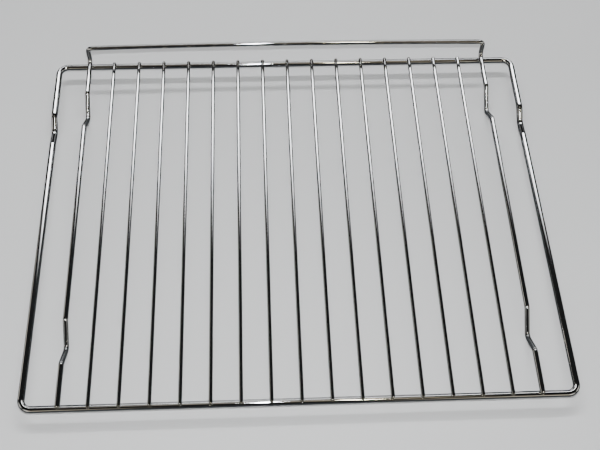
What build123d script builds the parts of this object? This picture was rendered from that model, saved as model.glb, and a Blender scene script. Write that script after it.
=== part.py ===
from build123d import *
import os

# Oven rack of plated steel wire. One thick wire is bent into a closed frame, one thinner wire is bent
# into two legs with feet and a raised guard bar along the rear, and straight grid wires lie across the
# front and rear rails of the frame, welded on top of them.
# Millimetres, +Z up, front towards -Y. The origin is on the floor under the middle of the rack.

# Wire diameters and welds
FRAME_WIRE = 5.5
GUARD_WIRE = 4.2
GRID_WIRE = 3.1
WELD_SINK = 0.4          # how far a welded wire settles into the rail under it
WIRE_OVERHANG = 1.7      # how far a welded wire's end reaches past the rail's centreline

# Plan, between wire centrelines
FRAME_WIDTH = 442.4      # from one side of the frame to the other
RAIL_SPACING = 355.2     # from the front rail to the rear rail
SIDE_GAP = 29.7          # from a side of the frame to the leg beside it
END_GAP = 23.5           # from a leg to the first grid wire
GRID_COUNT = 15

# Inside radii of the bends
FRAME_BEND = 5.75
GUARD_BEND = 2.4         # at the feet and at the guard bar's ends
RISER_BEND = 3.7         # where a leg turns up into its riser

# Feet, one V near each end of both legs
FOOT_DEPTH = 13.5        # from the leg's centreline down to the foot's
FOOT_SETBACK = 56.6      # from a rail to the middle of the foot nearest to it
FOOT_SPREAD = 39.6       # along the leg, over both ramps of a foot
FOOT_FLAT = 3.6          # level stretch at the bottom of a foot

# Pull-out stops, one dip in each side of the frame
STOP_SETBACK = 74.5      # from the rear rail to the middle of the dip
STOP_FLAT = 4.4          # level stretch at the bottom of the dip
STOP_DESCENT = 11.3      # length of the ramp behind the bottom
STOP_RETURN = 11.8       # length of the ramp in front of the bottom
STOP_FLOOR_GAP = 0.4     # from the floor to the underside of the dip
RUNNER_DROP = 6.2        # how far a side has come down from the front rail where it meets the dip

# Guard behind the rear rail
RISER_LEAD = 1.6         # how far before the rear rail's centreline a leg starts to turn up
GUARD_RISE = 17.8        # from a leg up to the guard bar
GUARD_BOW = 2.1          # how far the bar's middle stands behind its ends

# Heights of the centrelines, from the floor up
foot_z = GUARD_WIRE / 2
leg_z = foot_z + FOOT_DEPTH
rail_z = leg_z - (FRAME_WIRE + GUARD_WIRE) / 2 + WELD_SINK
grid_z = rail_z + (FRAME_WIRE + GRID_WIRE) / 2 - WELD_SINK
stop_z = STOP_FLOOR_GAP + FRAME_WIRE / 2
runner_z = rail_z - RUNNER_DROP

# Bend radii at the centrelines
frame_radius = FRAME_BEND + FRAME_WIRE / 2
guard_radius = GUARD_BEND + GUARD_WIRE / 2
riser_radius = RISER_BEND + GUARD_WIRE / 2

# A leg turns straight up as it crosses the rear rail
riser_setback = riser_radius - RISER_LEAD
bar_z = leg_z + GUARD_RISE

# The rack's depth is centred over the origin, guard included
rear_reach = max(riser_setback + GUARD_BOW + GUARD_WIRE / 2, FRAME_WIRE / 2)
depth = FRAME_WIRE / 2 + RAIL_SPACING + rear_reach
front_y = FRAME_WIRE / 2 - depth / 2
rear_y = front_y + RAIL_SPACING
side_x = FRAME_WIDTH / 2
leg_x = side_x - SIDE_GAP
grid_pitch = 2 * (leg_x - END_GAP) / (GRID_COUNT - 1)


def bent_wire(points, radii, diameter):
    """A round wire along straight runs joined by tangent arcs, one radius for each inner point."""
    path = FilletPolyline(*points, radius=radii)
    section = Plane(origin=path @ 0, z_dir=path % 0) * Circle(diameter / 2)
    return sweep(section, path=path)


def frame_wire():
    """The closed frame: its left half, from rail middle to rail middle, and the mirror image of it."""
    stop_front = rear_y - STOP_SETBACK - STOP_FLAT / 2
    stop_rear = stop_front + STOP_FLAT
    points = [
        (0, front_y, rail_z),
        (-side_x, front_y, rail_z),
        (-side_x, stop_front - STOP_RETURN, runner_z),
        (-side_x, stop_front, stop_z),
        (-side_x, stop_rear, stop_z),
        (-side_x, stop_rear + STOP_DESCENT, rail_z),
        (-side_x, rear_y, rail_z),
        (0, rear_y, rail_z),
    ]
    half = bent_wire(points, [frame_radius] * (len(points) - 2), FRAME_WIRE)
    return half + mirror(half, about=Plane.YZ)


def rail_seat(y):
    """A straight length of rail, used to cut the seat that a welded wire has on it."""
    return Pos(0, y, rail_z) * Rot(0, 90, 0) * Cylinder(FRAME_WIRE / 2, FRAME_WIDTH - 2 * frame_radius)


def foot_points(middle_y):
    """Corners of one V foot, as (y, z) pairs from front to rear."""
    return [
        (middle_y - FOOT_SPREAD / 2, leg_z),
        (middle_y - FOOT_FLAT / 2, foot_z),
        (middle_y + FOOT_FLAT / 2, foot_z),
        (middle_y + FOOT_SPREAD / 2, leg_z),
    ]


def guard_wire():
    """Legs, feet, risers and guard bar in one wire, with its seats on the rails cut away."""
    leg = [(front_y - WIRE_OVERHANG, leg_z)]
    leg += foot_points(front_y + FOOT_SETBACK)
    leg += foot_points(rear_y - FOOT_SETBACK)
    leg += [(rear_y + riser_setback, leg_z), (rear_y + riser_setback, bar_z)]

    # The bar's bow is one wide level arc, tangent to a short straight run at each end
    arc_half = leg_x - 2 * guard_radius
    apex_reach = GUARD_BOW / (1 - arc_half / (2 * leg_x))
    apex = (0, rear_y + riser_setback + apex_reach, bar_z)
    bow_radius = arc_half * leg_x / apex_reach

    left = [(-leg_x, y, z) for y, z in leg]
    right = [(leg_x, y, z) for y, z in reversed(leg)]
    bends = [guard_radius] * (len(leg) - 3) + [riser_radius, guard_radius]
    wire = bent_wire(left + [apex] + right, bends + [bow_radius] + bends[::-1], GUARD_WIRE)
    return wire - rail_seat(front_y) - rail_seat(rear_y)


def grid_wire():
    """A straight wire over the middle of the rack, with its seats on both rails cut away."""
    length = RAIL_SPACING + 2 * WIRE_OVERHANG
    wire = Pos(0, (front_y + rear_y) / 2, grid_z) * Rot(90, 0, 0) * Cylinder(GRID_WIRE / 2, length)
    return wire - rail_seat(front_y) - rail_seat(rear_y)


def rack():
    """Every wire of the rack by node name."""
    nodes = {"frame_wire": frame_wire(), "guard_wire": guard_wire()}
    straight = grid_wire()
    for number in range(GRID_COUNT):
        x = grid_pitch * (number - (GRID_COUNT - 1) / 2)
        nodes[f"grid_wire_{number + 1:02d}"] = Pos(x, 0, 0) * straight
    return nodes


os.makedirs("parts", exist_ok=True)
for name, solid in rack().items():
    solid.label = name
    export_step(solid, f"parts/{name}.step")
    print(name, f"{solid.volume:.1f} mm3")
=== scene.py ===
import logging
from dataclasses import dataclass, field
from enum import Enum
from math import cos, radians, sin

import bpy
import numpy as np
from mathutils import Matrix, Vector


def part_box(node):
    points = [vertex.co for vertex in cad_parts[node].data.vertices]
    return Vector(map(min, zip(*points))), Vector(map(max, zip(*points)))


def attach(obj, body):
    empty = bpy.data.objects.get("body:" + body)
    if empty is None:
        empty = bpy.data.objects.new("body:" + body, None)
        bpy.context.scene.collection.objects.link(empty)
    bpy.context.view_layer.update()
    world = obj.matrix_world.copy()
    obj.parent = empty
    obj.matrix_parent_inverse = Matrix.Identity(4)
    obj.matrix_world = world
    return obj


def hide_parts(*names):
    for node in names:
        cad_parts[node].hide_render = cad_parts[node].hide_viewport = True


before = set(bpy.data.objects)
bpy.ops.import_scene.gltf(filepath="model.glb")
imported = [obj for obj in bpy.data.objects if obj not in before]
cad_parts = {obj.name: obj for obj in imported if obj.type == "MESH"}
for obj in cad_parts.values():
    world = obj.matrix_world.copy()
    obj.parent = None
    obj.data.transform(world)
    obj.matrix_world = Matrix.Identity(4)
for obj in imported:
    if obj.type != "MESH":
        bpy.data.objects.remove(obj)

MM = 0.001
ROOT_BODY = "root"
DRAW_ATTRIBUTE = "draw_direction"

TINT_CLOUDS = {"Scale": 55.0, "Detail": 4.0, "Roughness": 0.6}
DRAW_LINES = {"Scale": 1.0, "Detail": 3.0, "Roughness": 0.55}
FLOOR_CLOUDS = {"Scale": 3.0, "Detail": 2.0}
FLOOR_MATT = {"Roughness": 0.85, "Specular IOR Level": 0.15}
NOISE_SPAN = (0.30, 0.70)
BUMP_STRENGTH = 0.35

WHITE = (1.0, 1.0, 1.0)
COOL = (0.97, 0.98, 1.0)
CREAM = (1.0, 0.96, 0.88)
STRAW = (1.0, 0.90, 0.70)

NO_FANS = np.zeros((0, 3), int)

log = logging.getLogger("oven_rack")


class FinishKind(Enum):
    """The surfaces that the plating covers."""

    DRAWN = "plated_drawn_wire"
    SHEARED = "plated_sheared_end"
    WELD = "plated_weld_nugget"


class LampRole(Enum):
    """What a lamp is for."""

    FILL = "lights the floor"
    MIRRORED = "shows in the plating"


class NodeBoard:
    """A short way to place and link the nodes of one material or world."""

    def __init__(self, tree: bpy.types.NodeTree) -> None:
        """Empties the tree.

        Args:
            tree: The node tree to fill.
        """
        self.tree = tree
        tree.nodes.clear()

    def add(self, kind: str, settings: dict | None = None, inputs: dict | None = None) -> bpy.types.Node:
        """Adds one node.

        Args:
            kind: The node's Blender type name.
            settings: Node properties to set.
            inputs: Input sockets by name or number, each a plain value or an output socket to link.

        Returns:
            The new node.
        """
        node = self.tree.nodes.new(kind)
        for name, value in (settings or {}).items():
            setattr(node, name, value)
        for name, value in (inputs or {}).items():
            if isinstance(value, bpy.types.NodeSocket):
                self.tree.links.new(value, node.inputs[name])
            else:
                node.inputs[name].default_value = value
        return node


@dataclass(frozen=True)
class PlatedFinish:
    """Bright plating over steel, a little uneven in tint and gloss.

    Attributes:
        kind: The surface that it covers, which names the material.
        dark_tint: Reflection colour where the plating is thin.
        light_tint: Reflection colour where it is thick.
        gloss_best: Roughness of the smoothest spots.
        gloss_worst: Roughness of the dullest spots.
        lines_round: Drawing lines in one radius of turn round the wire.
        lines_along: How many times a line changes in one metre of wire.
        line_depth: Height of the drawing lines, in metres.
    """

    kind: FinishKind
    dark_tint: tuple[float, float, float]
    light_tint: tuple[float, float, float]
    gloss_best: float
    gloss_worst: float
    lines_round: float
    lines_along: float
    line_depth: float

    def material(self) -> bpy.types.Material:
        """Makes the finish's material: tint from soft clouds, gloss and bump from lines along the wire.

        Returns:
            The new material.
        """
        made = bpy.data.materials.new(self.kind.value)
        made.use_nodes = True
        board = NodeBoard(made.node_tree)
        place = board.add("ShaderNodeTexCoord")
        clouds = board.add("ShaderNodeTexNoise", inputs={"Vector": place.outputs["Object"], **TINT_CLOUDS})
        tint = board.add("ShaderNodeValToRGB", inputs={"Fac": clouds.outputs["Fac"]})
        for stop, position, colour in zip(
            tint.color_ramp.elements, NOISE_SPAN, (self.dark_tint, self.light_tint)
        ):
            stop.position = position
            stop.color = (*colour, 1.0)

        drawn = board.add("ShaderNodeAttribute", {"attribute_name": DRAW_ATTRIBUTE})
        stretch = board.add(
            "ShaderNodeMapping",
            inputs={
                "Vector": drawn.outputs["Vector"],
                "Scale": (self.lines_round, self.lines_round, self.lines_along),
            },
        )
        lines = board.add("ShaderNodeTexNoise", inputs={"Vector": stretch.outputs["Vector"], **DRAW_LINES})
        gloss = board.add(
            "ShaderNodeMapRange",
            inputs={
                "Value": lines.outputs["Fac"],
                "From Min": NOISE_SPAN[0],
                "From Max": NOISE_SPAN[1],
                "To Min": self.gloss_best,
                "To Max": self.gloss_worst,
            },
        )
        bump = board.add(
            "ShaderNodeBump",
            inputs={"Height": lines.outputs["Fac"], "Strength": BUMP_STRENGTH, "Distance": self.line_depth},
        )
        shader = board.add(
            "ShaderNodeBsdfPrincipled",
            inputs={
                "Base Color": tint.outputs["Color"],
                "Metallic": 1.0,
                "Roughness": gloss.outputs["Result"],
                "Normal": bump.outputs["Normal"],
            },
        )
        board.add("ShaderNodeOutputMaterial", inputs={"Surface": shader.outputs["BSDF"]})
        return made


FINISHES = (
    PlatedFinish(
        kind=FinishKind.DRAWN,
        dark_tint=(0.74, 0.75, 0.77),
        light_tint=(0.84, 0.845, 0.85),
        gloss_best=0.03,
        gloss_worst=0.07,
        lines_round=9.0,
        lines_along=24.0,
        line_depth=0.010 * MM,
    ),
    PlatedFinish(
        kind=FinishKind.SHEARED,
        dark_tint=(0.56, 0.55, 0.53),
        light_tint=(0.72, 0.71, 0.69),
        gloss_best=0.05,
        gloss_worst=0.10,
        lines_round=7.0,
        lines_along=900.0,
        line_depth=0.020 * MM,
    ),
    PlatedFinish(
        kind=FinishKind.WELD,
        dark_tint=(0.58, 0.57, 0.55),
        light_tint=(0.74, 0.73, 0.71),
        gloss_best=0.09,
        gloss_worst=0.20,
        lines_round=3.0,
        lines_along=400.0,
        line_depth=0.030 * MM,
    ),
)


def unit(vectors: np.ndarray) -> np.ndarray:
    """Vectors scaled to length one along their last axis."""
    return vectors / np.linalg.norm(vectors, axis=-1, keepdims=True)


@dataclass
class WirePath:
    """A wire's centreline: straight runs joined by tangent arcs.

    Attributes:
        corners: Where the runs would meet, one row each, with both ends first and last on an open path.
        radii: One bend radius for each corner that is turned.
        closed: Whether the last corner runs on to the first.
        arc_steps: Points on each arc.
        lead: How far before and after each arc a point lies on the straight run, which keeps its shading
            straight.
        guide: A direction that no stretch of the path runs along, from which the turn round the wire is
            counted.
    """

    corners: np.ndarray
    radii: np.ndarray
    closed: bool = False
    arc_steps: int = 17
    lead: float = 0.04 * MM
    guide: tuple[float, float, float] = (0.0, 0.0, 1.0)

    def centreline(self) -> tuple[np.ndarray, np.ndarray]:
        """Points along the path and its direction at each.

        A corner P between runs of unit direction a and b turns by t, the angle between them. Its arc of
        radius R starts at S = P - a R tan(t / 2). With n the unit part of b square to a, the arc's point at
        an angle u between 0 and t is S + R (a sin u + n (1 - cos u)), and the path runs there along
        a cos u + n sin u.

        Returns:
            Points and unit directions, one row each.
        """
        if self.closed:
            at = self.corners
            before = np.roll(at, 1, axis=0)
            after = np.roll(at, -1, axis=0)
        else:
            before, at, after = self.corners[:-2], self.corners[1:-1], self.corners[2:]
        run_in = unit(at - before)
        run_out = unit(after - at)
        along = np.sum(run_in * run_out, axis=1, keepdims=True)
        turn = np.arccos(np.clip(along, -1.0, 1.0))
        inward = unit(run_out - along * run_in)
        radius = np.asarray(self.radii, float).reshape(-1, 1)
        start = at - run_in * radius * np.tan(turn / 2)

        angle = (turn * np.linspace(0.0, 1.0, self.arc_steps))[:, :, None]
        sine, cosine = np.sin(angle), np.cos(angle)
        a, n = run_in[:, None, :], inward[:, None, :]
        points = start[:, None, :] + radius[:, :, None] * (a * sine + n * (1.0 - cosine))
        heading = a * cosine + n * sine
        before_arc = points[:, :1] - self.lead * heading[:, :1]
        after_arc = points[:, -1:] + self.lead * heading[:, -1:]
        points = np.concatenate([before_arc, points, after_arc], axis=1).reshape(-1, 3)
        heading = np.concatenate([heading[:, :1], heading, heading[:, -1:]], axis=1).reshape(-1, 3)
        if self.closed:
            return points, heading
        ends = unit(np.stack([self.corners[1] - self.corners[0], self.corners[-1] - self.corners[-2]]))
        points = np.concatenate([self.corners[:1], points, self.corners[-1:]])
        heading = np.concatenate([ends[:1], heading, ends[1:]])
        return points, heading


@dataclass
class Skin:
    """A mesh worked out as arrays.

    Attributes:
        points: Vertex places in metres.
        quads: Four vertex numbers to a face.
        fans: Three vertex numbers to a face.
        draw: Cosine and sine of the turn round the wire, and the distance along it, for each vertex.
        end_quads: Which quads belong to a sheared end.
    """

    points: np.ndarray
    quads: np.ndarray
    fans: np.ndarray
    draw: np.ndarray
    end_quads: np.ndarray

    def piece(self, name: str, materials: list[bpy.types.Material]) -> bpy.types.Object:
        """Puts the arrays into a smooth-shaded object at the origin.

        Args:
            name: The object's name.
            materials: Finish of the skin, then of its sheared ends.

        Returns:
            The new object, linked to the scene.
        """
        mesh = bpy.data.meshes.new(name)
        mesh.from_pydata(self.points.tolist(), [], self.quads.tolist() + self.fans.tolist())
        for material in materials:
            mesh.materials.append(material)
        ends = np.concatenate([self.end_quads, np.ones(len(self.fans), bool)])
        mesh.polygons.foreach_set("material_index", np.where(ends, len(materials) - 1, 0).astype(np.int32))
        mesh.polygons.foreach_set("use_smooth", np.ones(len(ends), bool))
        coordinate = mesh.attributes.new(DRAW_ATTRIBUTE, "FLOAT_VECTOR", "POINT")
        coordinate.data.foreach_set("vector", self.draw.astype(np.float32).ravel())
        mesh.update()
        made = bpy.data.objects.new(name, mesh)
        bpy.context.scene.collection.objects.link(made)
        return made


@dataclass(frozen=True)
class RoundWire:
    """A round wire's section and the way that its ends are sheared.

    Attributes:
        diameter: Wire diameter.
        sides: Points round the section.
        end_rings: Radius of each ring of a sheared end, as a share of the wire's, from the middle out.
        end_steps: How far each of those rings lies inside the cut, as a share of the wire's radius.
    """

    diameter: float
    sides: int = 40
    end_rings: tuple[float, ...] = (0.35, 0.62, 0.80, 0.91, 0.97, 1.0, 1.0)
    end_steps: tuple[float, ...] = (0.01, 0.06, 0.17, 0.33, 0.52, 0.75, 0.80)

    def stations(self, path: WirePath) -> tuple[np.ndarray, np.ndarray, np.ndarray]:
        """Finds where the rings stand along a path.

        An open path has the rings of a sheared end at either end, each set back by its own step.

        Args:
            path: The wire's centreline.

        Returns:
            The rings' middles, the path's direction at each and their radii.
        """
        points, heading = path.centreline()
        radius = np.full(len(points), self.diameter / 2)
        if path.closed:
            return points, heading, radius
        ends = len(self.end_rings)
        share = np.array(self.end_rings) * self.diameter / 2
        inset = np.array(self.end_steps)[:, None] * self.diameter / 2
        first = points[0] + heading[0] * inset
        last = (points[-1] - heading[-1] * inset)[::-1]
        points = np.concatenate([first, points[1:-1], last])
        heading = np.concatenate([
            np.repeat(heading[:1], ends, axis=0), heading[1:-1], np.repeat(heading[-1:], ends, axis=0)
        ])
        radius = np.concatenate([share, radius[1:-1], share[::-1]])
        return points, heading, radius

    def end_fans(self, rings: int) -> np.ndarray:
        """Closes both ends of an open wire with triangles round a pole.

        Args:
            rings: How many rings the wire has. The two poles are numbered after their points.

        Returns:
            Three vertex numbers to a face.
        """
        around = np.arange(self.sides)
        ahead = np.roll(around, -1)
        pole = np.full(self.sides, rings * self.sides)
        rim = (rings - 1) * self.sides
        return np.concatenate([
            np.stack([pole, ahead, around], axis=1),
            np.stack([pole + 1, rim + around, rim + ahead], axis=1),
        ])

    def skin(self, path: WirePath) -> Skin:
        """Carries the round section along a path.

        With T the path's direction, N its guide made square to T and B = T x N, the point at a turn v on
        the ring at P is P + r (N cos v + B sin v). The radius r is the wire's, apart from the rings of a
        sheared end, where it falls to nothing at the middle of the cut.

        Args:
            path: The wire's centreline.

        Returns:
            The wire's surface, closed at its seam and at both ends.
        """
        points, heading, radius = self.stations(path)
        guide = unit(np.array(path.guide))
        normal = unit(guide - heading * (heading @ guide)[:, None])
        across = np.cross(heading, normal)
        turn = np.linspace(0.0, 2.0 * np.pi, self.sides, endpoint=False)[None, :, None]
        ring = normal[:, None, :] * np.cos(turn) + across[:, None, :] * np.sin(turn)
        surface = points[:, None, :] + radius[:, None, None] * ring
        travel = np.concatenate([[0.0], np.cumsum(np.linalg.norm(np.diff(points, axis=0), axis=1))])
        flat_turn = turn[..., 0]
        draw = np.stack(np.broadcast_arrays(np.cos(flat_turn), np.sin(flat_turn), travel[:, None]), axis=-1)

        rings = len(points)
        number = np.arange(rings * self.sides).reshape(rings, self.sides)
        ahead = np.roll(number, -1, axis=0)
        if not path.closed:
            number, ahead = number[:-1], ahead[:-1]
        quads = np.stack([number, np.roll(number, -1, 1), np.roll(ahead, -1, 1), ahead], axis=-1)
        vertices, marks = surface.reshape(-1, 3), draw.reshape(-1, 3)
        if path.closed:
            return Skin(vertices, quads.reshape(-1, 4), NO_FANS, marks, np.zeros(quads[..., 0].size, bool))

        band = np.arange(len(quads))
        end_bands = len(self.end_rings) - 1
        in_end = (band < end_bands) | (band >= len(quads) - end_bands)
        poles = np.stack([path.corners[0], path.corners[-1]])
        pole_marks = np.array([[0.0, 0.0, 0.0], [0.0, 0.0, travel[-1]]])
        return Skin(
            np.concatenate([vertices, poles]),
            quads.reshape(-1, 4),
            self.end_fans(rings),
            np.concatenate([marks, pole_marks]),
            np.repeat(in_end, self.sides),
        )


def seat_piece(piece: bpy.types.Object, *nodes: str) -> bpy.types.Object:
    """Lets a piece ride on the rack and hides the CAD nodes that it stands for.

    Args:
        piece: The finished piece.
        nodes: CAD nodes that it replaces, if any.

    Returns:
        The same piece.
    """
    if nodes:
        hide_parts(*nodes)
    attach(piece, ROOT_BODY)
    log.info("%s: %d vertices, %d faces", piece.name, len(piece.data.vertices), len(piece.data.polygons))
    return piece


@dataclass
class BentFrame:
    """The closed frame: front and rear rails, and two sides with a pull-out stop in each.

    Sizes are in metres and follow the wire's centreline, apart from the inside bend radius. The number
    of sides is the points round the wire's section.
    """

    node: str = "frame_wire"
    wire: float = 5.5 * MM
    inside_bend: float = 5.75 * MM
    stop_setback: float = 74.5 * MM
    stop_flat: float = 4.4 * MM
    stop_descent: float = 11.3 * MM
    stop_return: float = 11.8 * MM
    runner_drop: float = 6.2 * MM
    sides: int = 48
    side_x: float = field(init=False)
    front_y: float = field(init=False)
    rear_y: float = field(init=False)
    rail_z: float = field(init=False)
    stop_z: float = field(init=False)

    def __post_init__(self) -> None:
        """Takes the frame's place from its CAD node."""
        low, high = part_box(self.node)
        radius = self.wire / 2
        self.side_x = high.x - radius
        self.front_y = low.y + radius
        self.rear_y = high.y - radius
        self.rail_z = high.z - radius
        self.stop_z = low.z + radius

    def path(self) -> WirePath:
        """Lays the closed centreline, down the left side and up the right side.

        Returns:
            The wire's path.
        """
        stop_front = self.rear_y - self.stop_setback - self.stop_flat / 2
        stop_rear = stop_front + self.stop_flat
        side = np.array([
            (self.rear_y, self.rail_z),
            (stop_rear + self.stop_descent, self.rail_z),
            (stop_rear, self.stop_z),
            (stop_front, self.stop_z),
            (stop_front - self.stop_return, self.rail_z - self.runner_drop),
            (self.front_y, self.rail_z),
        ])
        left = np.insert(side, 0, -self.side_x, axis=1)
        right = np.insert(side[::-1], 0, self.side_x, axis=1)
        corners = np.concatenate([left, right])
        return WirePath(corners, np.full(len(corners), self.inside_bend + self.wire / 2), closed=True)

    def build(self, finishes: dict[FinishKind, bpy.types.Material]) -> bpy.types.Object:
        """Makes the frame in bright drawn wire.

        Args:
            finishes: The materials by kind.

        Returns:
            The frame's piece.
        """
        skin = RoundWire(self.wire, self.sides).skin(self.path())
        return seat_piece(skin.piece("rack_frame", [finishes[FinishKind.DRAWN]]), self.node)


@dataclass
class LeggedGuard:
    """One wire that makes two legs with V feet, two upright risers and the bowed guard bar.

    Sizes are in metres and follow the wire's centreline, apart from the inside bend radii.
    """

    rails: BentFrame
    node: str = "guard_wire"
    wire: float = 4.2 * MM
    inside_bend: float = 2.4 * MM
    riser_bend: float = 3.7 * MM
    foot_depth: float = 13.5 * MM
    foot_setback: float = 56.6 * MM
    foot_spread: float = 39.6 * MM
    foot_flat: float = 3.6 * MM
    bow: float = 2.1 * MM
    leg_x: float = field(init=False)
    leg_z: float = field(init=False)
    front_end_y: float = field(init=False)
    riser_y: float = field(init=False)
    bar_z: float = field(init=False)

    def __post_init__(self) -> None:
        """Takes the places of the legs, risers and bar from the CAD node."""
        low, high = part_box(self.node)
        radius = self.wire / 2
        self.leg_x = high.x - radius
        self.leg_z = low.z + radius + self.foot_depth
        self.front_end_y = low.y
        self.riser_y = high.y - radius - self.bow
        self.bar_z = high.z - radius

    def foot(self, middle_y: float) -> np.ndarray:
        """Lays the corners of one V foot.

        Args:
            middle_y: Where the middle of the foot stands.

        Returns:
            Its corners as (y, z) rows, from front to rear.
        """
        steps = np.array([-self.foot_spread, -self.foot_flat, self.foot_flat, self.foot_spread]) / 2
        drops = np.array([0.0, self.foot_depth, self.foot_depth, 0.0])
        return np.stack([middle_y + steps, self.leg_z - drops], axis=1)

    def path(self) -> WirePath:
        """The open centreline from the left leg's front end, over the guard bar, to the right leg's.

        The bar's bow is one wide level arc. It turns at an apex behind the bar's middle, and its radius is
        the one that lets the arc end two bend radii short of each corner.

        Returns:
            The wire's path.
        """
        leg = np.concatenate([
            [(self.front_end_y, self.leg_z)],
            self.foot(self.rails.front_y + self.foot_setback),
            self.foot(self.rails.rear_y - self.foot_setback),
            [(self.riser_y, self.leg_z), (self.riser_y, self.bar_z)],
        ])
        bend = self.inside_bend + self.wire / 2
        arc_half = self.leg_x - 2 * bend
        apex_reach = self.bow / (1 - arc_half / (2 * self.leg_x))
        apex = [(0.0, self.riser_y + apex_reach, self.bar_z)]
        left = np.insert(leg, 0, -self.leg_x, axis=1)
        right = np.insert(leg[::-1], 0, self.leg_x, axis=1)
        bends = np.full(len(leg) - 1, bend)
        bends[-2] = self.riser_bend + self.wire / 2
        radii = np.concatenate([bends, [arc_half * self.leg_x / apex_reach], bends[::-1]])
        return WirePath(np.concatenate([left, apex, right]), radii, guide=(1.0, 1.0, 1.0))

    def build(self, finishes: dict[FinishKind, bpy.types.Material]) -> bpy.types.Object:
        """Makes the legs and guard in bright drawn wire with sheared front ends.

        Args:
            finishes: The materials by kind.

        Returns:
            The guard's piece.
        """
        skin = RoundWire(self.wire).skin(self.path())
        dress = [finishes[FinishKind.DRAWN], finishes[FinishKind.SHEARED]]
        return seat_piece(skin.piece("rack_guard", dress), self.node)


@dataclass
class GridWires:
    """The straight wires across the rails.

    Attributes:
        wire: Wire diameter in metres.
        sides: Points round the wire's section.
        prefix: How the CAD nodes' names begin.
        places: Middle of each wire as x and z, and its two ends in y.
    """

    wire: float = 3.1 * MM
    sides: int = 32
    prefix: str = "grid_wire_"
    places: dict[str, tuple[float, float, float, float]] = field(init=False)

    def __post_init__(self) -> None:
        """Takes each wire's place from its CAD node."""
        self.places = {}
        for node in sorted(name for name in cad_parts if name.startswith(self.prefix)):
            low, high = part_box(node)
            self.places[node] = ((low.x + high.x) / 2, high.z - self.wire / 2, low.y, high.y)

    def build(self, finishes: dict[FinishKind, bpy.types.Material]) -> list[bpy.types.Object]:
        """Makes each wire in bright drawn wire with sheared ends.

        Args:
            finishes: The materials by kind.

        Returns:
            The wires' pieces, from left to right.
        """
        section = RoundWire(self.wire, self.sides)
        dress = [finishes[FinishKind.DRAWN], finishes[FinishKind.SHEARED]]
        made = []
        for node, (x, z, front, rear) in self.places.items():
            path = WirePath(np.array([(x, front, z), (x, rear, z)]), np.zeros(0))
            made.append(seat_piece(section.skin(path).piece(node.replace("grid", "rack"), dress), node))
        return made


@dataclass
class WeldNuggets:
    """The bead squeezed out round each place where a wire is welded to a rail.

    Attributes:
        rails: The frame that carries the wires.
        bead: Radius of the bead's own section, in metres.
        squeeze: How far the bead stands outside the contact, in metres.
        steps: Points round the contact.
        sides: Points round the bead's section.
    """

    rails: BentFrame
    bead: float = 0.36 * MM
    squeeze: float = 0.12 * MM
    steps: int = 28
    sides: int = 12

    def skin(self, x: np.ndarray, z: np.ndarray, radius: np.ndarray) -> Skin:
        """One closed bead at every crossing of a wire and a rail.

        Where a wire of radius r has sunk by s into a rail of radius R, the contact is an oval with half
        axes sqrt(s (2 r - s)) along the rail and sqrt(s (2 R - s)) across it, which lies on the rail's
        round top. A small circle is carried round that oval, its plane through the upright direction.

        Args:
            x: Place of each wire along the rails.
            z: Height of each wire's centreline.
            radius: Each wire's radius.

        Returns:
            All the beads in one surface.
        """
        rail = self.rails.wire / 2
        sink = rail + radius - (z - self.rails.rail_z)
        along = np.sqrt(sink * (2 * radius - sink)) + self.squeeze
        across = np.sqrt(sink * (2 * rail - sink)) + self.squeeze
        rail_y = np.array([self.rails.front_y, self.rails.rear_y])
        middle_x, middle_y = (grid.ravel() for grid in np.meshgrid(x, rail_y))
        along, across = np.tile(along, 2)[:, None], np.tile(across, 2)[:, None]

        turn = np.linspace(0.0, 2.0 * np.pi, self.steps, endpoint=False)[None, :]
        oval_x, oval_y = along * np.cos(turn), across * np.sin(turn)
        height = np.sqrt(rail ** 2 - oval_y ** 2)
        path = np.stack(
            [middle_x[:, None] + oval_x, middle_y[:, None] + oval_y, self.rails.rail_z + height], axis=-1
        )
        outward = unit(
            np.stack([np.cos(turn) / along, np.sin(turn) / across, np.zeros_like(oval_x)], axis=-1)
        )
        section = np.linspace(0.0, 2.0 * np.pi, self.sides, endpoint=False)[None, None, :, None]
        up = np.array([0.0, 0.0, 1.0])
        swing = outward[:, :, None] * np.cos(section) + up * np.sin(section)
        surface = path[:, :, None] + self.bead * swing

        number = np.arange(surface[..., 0].size).reshape(surface.shape[:3])
        ahead = np.roll(number, -1, axis=1)
        quads = np.stack([number, ahead, np.roll(ahead, -1, 2), np.roll(number, -1, 2)], axis=-1)
        quads = quads.reshape(-1, 4)
        vertices = surface.reshape(-1, 3)
        return Skin(vertices, quads, NO_FANS, vertices.copy(), np.zeros(len(quads), bool))

    def build(
        self, guard: LeggedGuard, grid: GridWires, finishes: dict[FinishKind, bpy.types.Material]
    ) -> bpy.types.Object:
        """Makes the beads under every leg and grid wire.

        Args:
            guard: The wire with the legs.
            grid: The straight wires.
            finishes: The materials by kind.

        Returns:
            The beads as one piece.
        """
        middles = np.array([(x, z) for x, z, _, _ in grid.places.values()])
        x = np.concatenate([[-guard.leg_x], middles[:, 0], [guard.leg_x]])
        z = np.concatenate([[guard.leg_z], middles[:, 1], [guard.leg_z]])
        radius = np.full(len(x), grid.wire / 2)
        radius[[0, -1]] = guard.wire / 2
        return seat_piece(self.skin(x, z, radius).piece("rack_welds", [finishes[FinishKind.WELD]]))


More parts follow.
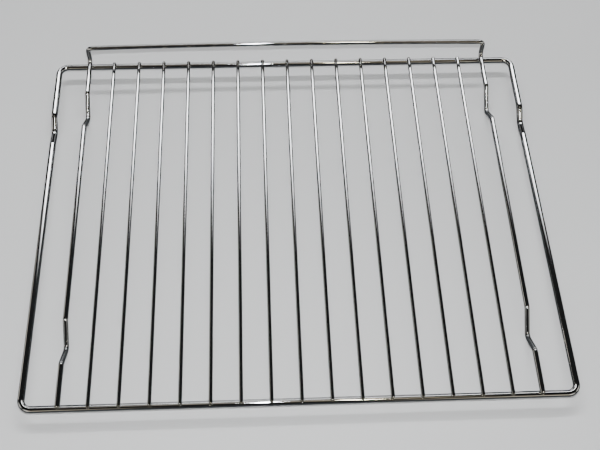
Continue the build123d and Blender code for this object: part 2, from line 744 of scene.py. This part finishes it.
def smooth_step(
    board: NodeBoard, value: bpy.types.NodeSocket, start: float, end: float
) -> bpy.types.NodeSocket:
    """A smooth step from 0 at one value to 1 at another.

    Args:
        board: The nodes to add to.
        value: What is stepped.
        start: Where the step begins.
        end: Where it ends, on either side of the start.

    Returns:
        The stepped value.
    """
    low, high = sorted((start, end))
    rising = start < end
    step = board.add(
        "ShaderNodeMapRange",
        {"interpolation_type": "SMOOTHSTEP"},
        {
            "Value": value,
            "From Min": low,
            "From Max": high,
            "To Min": 0.0 if rising else 1.0,
            "To Max": 1.0 if rising else 0.0,
        },
    )
    return step.outputs["Result"]


def times(
    board: NodeBoard, first: bpy.types.NodeSocket, second: bpy.types.NodeSocket | float
) -> bpy.types.NodeSocket:
    """The product of a socket and another socket or number."""
    return board.add("ShaderNodeMath", {"operation": "MULTIPLY"}, {0: first, 1: second}).outputs["Value"]


def background(
    board: NodeBoard, colour: tuple[float, float, float], strength: bpy.types.NodeSocket | float
) -> bpy.types.NodeSocket:
    """Light of one colour from the surroundings."""
    made = board.add("ShaderNodeBackground", inputs={"Color": (*colour, 1.0), "Strength": strength})
    return made.outputs["Background"]


@dataclass(frozen=True)
class GlowPatch:
    """A soft round patch of light in the dark surroundings.

    Attributes:
        azimuth: Degrees from straight behind the rack, positive to the right.
        elevation: Degrees above the floor, negative below it.
        core: Half angle of the even middle, in degrees.
        edge: Half angle where it has faded away, in degrees.
        colour: Its colour.
        strength: Its brightness.
    """

    azimuth: float
    elevation: float
    core: float
    edge: float
    colour: tuple[float, float, float]
    strength: float

    def direction(self) -> tuple[float, float, float]:
        """The unit direction of the patch's middle."""
        flat = cos(radians(self.elevation))
        return (
            flat * sin(radians(self.azimuth)),
            flat * cos(radians(self.azimuth)),
            sin(radians(self.elevation)),
        )

    def glow(self, board: NodeBoard, ray: bpy.types.NodeSocket) -> bpy.types.NodeSocket:
        """Adds the nodes that give the patch's light.

        The brightness is the strength times a smooth step of the product of the ray and the patch's own
        direction, from the cosine of its edge to the cosine of its core.

        Args:
            board: The world's nodes.
            ray: The direction looked in.

        Returns:
            The patch's light.
        """
        facing = board.add(
            "ShaderNodeVectorMath", {"operation": "DOT_PRODUCT"}, {0: ray, 1: self.direction()}
        )
        fade = smooth_step(board, facing.outputs["Value"], cos(radians(self.edge)), cos(radians(self.core)))
        return background(board, self.colour, times(board, fade, self.strength))


@dataclass(frozen=True)
class LightArch:
    """A long soft strip of light that stands behind the rack like an arch.

    Attributes:
        top: Cosines of the elevations, straight behind, between which its upper edge fades in.
        foot: Cosines of the elevations, straight behind, between which its lower edge fades out.
        ends: Heights of a ray, as sines, between which both its ends fade in.
        colour: Its colour.
        strength: Its brightness.
        lean: How much of a ray's sideways part counts as rearward at the upper edge.
    """

    top: tuple[float, float]
    foot: tuple[float, float]
    ends: tuple[float, float]
    colour: tuple[float, float, float]
    strength: float
    lean: float = 0.0

    def glow(self, board: NodeBoard, ray: bpy.types.NodeSocket) -> bpy.types.NodeSocket:
        """Adds the nodes that give the arch's light.

        A wire from front to rear keeps the rearward part of the ray that it mirrors, so the arch is laid out
        by that part: the brightness is the strength times a smooth step up over the top's pair, one down
        over the foot's pair, and one up over the ends' pair of the ray's height. At the top the rearward
        part has the lean times the sideways part added.

        Args:
            board: The world's nodes.
            ray: The direction looked in.

        Returns:
            The arch's light.
        """
        parts = board.add("ShaderNodeSeparateXYZ", inputs={"Vector": ray})
        leaning = board.add(
            "ShaderNodeMath",
            {"operation": "MULTIPLY_ADD"},
            {0: parts.outputs["X"], 1: self.lean, 2: parts.outputs["Y"]},
        )
        rise = smooth_step(board, leaning.outputs["Value"], *self.top)
        fall = smooth_step(board, parts.outputs["Y"], *reversed(self.foot))
        ends = smooth_step(board, parts.outputs["Z"], *self.ends)
        fade = times(board, times(board, rise, fall), ends)
        return background(board, self.colour, times(board, fade, self.strength))


@dataclass(frozen=True)
class Lamp:
    """A flat soft light that faces the rack: a rectangle over the floor, an oval in the plating.

    Attributes:
        name: The light's name.
        place: Its middle, in metres.
        size: Width and height, in metres.
        watts: Its power.
        colour: Its colour.
        role: Whether it lights the floor or shows in the plating.
    """

    name: str
    place: tuple[float, float, float]
    size: tuple[float, float]
    watts: float
    colour: tuple[float, float, float]
    role: LampRole

    def build(self) -> bpy.types.Object:
        """Makes the light, aimed at the middle of the rack.

        Returns:
            The new light, linked to the scene.
        """
        light = bpy.data.lights.new(self.name, "AREA")
        light.shape = "RECTANGLE" if self.role is LampRole.FILL else "ELLIPSE"
        light.size, light.size_y = self.size
        light.energy = self.watts
        light.color = self.colour
        made = bpy.data.objects.new(self.name, light)
        made.location = self.place
        made.rotation_euler = (-Vector(self.place)).to_track_quat("-Z", "Y").to_euler()
        made.visible_glossy = self.role is LampRole.MIRRORED
        made.visible_diffuse = self.role is LampRole.FILL
        bpy.context.scene.collection.objects.link(made)
        return made


@dataclass
class Studio:
    """The plain pale floor, the light and the camera.

    Attributes:
        floor_half: Half the floor's side, in metres.
        floor_dark: Floor colour in its darker clouds.
        floor_light: Floor colour in its lighter clouds.
        dark: Brightness of the surroundings away from the lights.
        glows: Soft light in the surroundings.
        lamps: The lights.
        film: Width of the camera's film, in millimetres.
        lens: Its focal length, in millimetres.
        near: The nearest distance that it shows, in metres.
        eye: The camera's place, in metres.
        aim: Where its axis meets the wires' level, in metres.
        roll: Turn about that axis, in degrees.
    """

    floor_half: float = 30.0
    floor_dark: tuple[float, float, float] = (0.56, 0.57, 0.58)
    floor_light: tuple[float, float, float] = (0.60, 0.61, 0.62)
    dark: float = 0.012
    glows: tuple[LightArch | GlowPatch, ...] = (
        # The strip behind the rack, and a dim warm band below it
        LightArch(
            top=(0.5415, 0.6415), foot=(0.657, 0.665), ends=(0.58, 0.72),
            colour=WHITE, strength=6.5, lean=0.05,
        ),
        LightArch(
            top=(0.662, 0.669), foot=(0.690, 0.720), ends=(0.70, 0.74),
            colour=(1.0, 0.88, 0.66), strength=0.28,
        ),
        # A warm patch overhead, and the glow round the warm lamp
        GlowPatch(azimuth=180.0, elevation=88.0, core=5.0, edge=14.0, colour=(1.0, 0.92, 0.74), strength=0.5),
        GlowPatch(azimuth=166.6, elevation=62.7, core=1.0, edge=8.0, colour=(1.0, 0.86, 0.58), strength=0.7),
        # Low light in front, then to the left
        *(
            GlowPatch(azimuth=turn, elevation=14.0, core=8.0, edge=18.0, colour=STRAW, strength=0.6)
            for turn in (157.0, 203.0)
        ),
        GlowPatch(azimuth=-63.0, elevation=5.0, core=3.0, edge=9.0, colour=(1.0, 0.94, 0.82), strength=1.2),
        # Low light at the sides and the front corners, then behind
        *(
            GlowPatch(azimuth=turn, elevation=10.0, core=8.0, edge=22.0, colour=CREAM, strength=0.7)
            for turn in (-95.0, 95.0, -138.0, 138.0)
        ),
        *(
            GlowPatch(azimuth=turn, elevation=14.0, core=4.0, edge=12.0, colour=WHITE, strength=1.3)
            for turn in (0.0, -27.0, 27.0)
        ),
        # What the plating mirrors in place of the floor, behind the rack and all over
        GlowPatch(azimuth=0.0, elevation=-10.0, core=6.0, edge=14.0, colour=(0.95, 0.97, 1.0), strength=0.4),
        GlowPatch(
            azimuth=0.0, elevation=-90.0, core=70.0, edge=88.0, colour=(0.86, 0.93, 1.0), strength=0.055
        ),
    )
    lamps: tuple[Lamp, ...] = (
        Lamp(
            "lamp_key", place=(0.0, 1.55, 1.70), size=(2.4, 0.12),
            watts=40.0, colour=WHITE, role=LampRole.FILL,
        ),
        Lamp(
            "lamp_overhead", place=(0.0, 0.0, 12.0), size=(40.0, 40.0),
            watts=1000.0, colour=WHITE, role=LampRole.FILL,
        ),
        Lamp(
            "lamp_front", place=(-0.029, -0.424, 0.804), size=(0.06, 0.045),
            watts=8.0, colour=WHITE, role=LampRole.FILL,
        ),
        Lamp(
            "lamp_white", place=(-0.030, -0.590, 1.325), size=(0.035, 0.70),
            watts=3.4, colour=COOL, role=LampRole.MIRRORED,
        ),
        Lamp(
            "lamp_warm", place=(0.285, -1.20, 2.40), size=(0.085, 0.60),
            watts=4.0, colour=(1.0, 0.90, 0.66), role=LampRole.MIRRORED,
        ),
    )
    film: float = 36.0
    lens: float = 60.11
    near: float = 0.01
    eye: tuple[float, float, float] = (-28.91 * MM, -493.20 * MM, 752.15 * MM)
    aim: tuple[float, float, float] = (4.99 * MM, -16.70 * MM, 15.05 * MM)
    roll: float = 2.06

    def build_floor(self) -> bpy.types.Object:
        """Makes the floor, a plain matt sheet with a faint unevenness of tone, kept out of the reflections.

        Returns:
            The floor.
        """
        half = self.floor_half
        mesh = bpy.data.meshes.new("studio_floor")
        corners = [(-half, -half, 0), (half, -half, 0), (half, half, 0), (-half, half, 0)]
        mesh.from_pydata(corners, [], [(0, 1, 2, 3)])
        finish = bpy.data.materials.new("studio_floor")
        finish.use_nodes = True
        board = NodeBoard(finish.node_tree)
        place = board.add("ShaderNodeTexCoord")
        clouds = board.add("ShaderNodeTexNoise", inputs={"Vector": place.outputs["Object"], **FLOOR_CLOUDS})
        tone = board.add("ShaderNodeValToRGB", inputs={"Fac": clouds.outputs["Fac"]})
        tone.color_ramp.elements[0].color = (*self.floor_dark, 1.0)
        tone.color_ramp.elements[1].color = (*self.floor_light, 1.0)
        shader = board.add(
            "ShaderNodeBsdfPrincipled", inputs={"Base Color": tone.outputs["Color"], **FLOOR_MATT}
        )
        board.add("ShaderNodeOutputMaterial", inputs={"Surface": shader.outputs["BSDF"]})
        mesh.materials.append(finish)
        floor = bpy.data.objects.new("studio_floor", mesh)
        floor.visible_glossy = False
        bpy.context.scene.collection.objects.link(floor)
        return floor

    def build_surroundings(self) -> bpy.types.World:
        """Makes the dark surroundings with their soft light.

        Returns:
            The scene's world.
        """
        world = bpy.data.worlds.new("studio")
        world.use_nodes = True
        bpy.context.scene.world = world
        board = NodeBoard(world.node_tree)
        ray = board.add("ShaderNodeTexCoord").outputs["Generated"]
        light = background(board, WHITE, self.dark)
        for glow in self.glows:
            light = board.add("ShaderNodeAddShader", inputs={0: light, 1: glow.glow(board, ray)}).outputs[0]
        board.add("ShaderNodeOutputWorld", inputs={"Surface": light})
        return world

    def build_camera(self) -> bpy.types.Object:
        """Makes the camera at the photograph's angle and gives it to the scene.

        Returns:
            The scene's camera.
        """
        lens = bpy.data.cameras.new("photo_camera")
        lens.sensor_width = self.film
        lens.lens = self.lens
        lens.clip_start = self.near
        forward = (Vector(self.aim) - Vector(self.eye)).normalized()
        level = forward.cross(Vector((0, 0, 1))).normalized()
        upright = level.cross(forward)
        right = level * cos(radians(self.roll)) + upright * sin(radians(self.roll))
        up = right.cross(forward)
        turned = Matrix((right, up, -forward)).transposed().to_4x4()
        made = bpy.data.objects.new("photo_camera", lens)
        made.matrix_world = Matrix.Translation(self.eye) @ turned
        bpy.context.scene.collection.objects.link(made)
        bpy.context.scene.camera = made
        return made

    def build(self) -> None:
        """Makes the floor, the surroundings, the lights and the camera."""
        self.build_floor()
        self.build_surroundings()
        for lamp in self.lamps:
            lamp.build()
        self.build_camera()
        log.info("studio: %d lamps, %d soft lights", len(self.lamps), len(self.glows))


def main() -> None:
    """Builds the rack's wires, then its welds, then the studio."""
    logging.basicConfig(level=logging.INFO, format="%(name)s %(message)s")
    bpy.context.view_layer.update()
    finishes = {finish.kind: finish.material() for finish in FINISHES}
    rails = BentFrame()
    guard = LeggedGuard(rails)
    grid = GridWires()
    rails.build(finishes)
    guard.build(finishes)
    grid.build(finishes)
    WeldNuggets(rails).build(guard, grid, finishes)
    Studio().build()


if __name__ == "__main__":
    main()
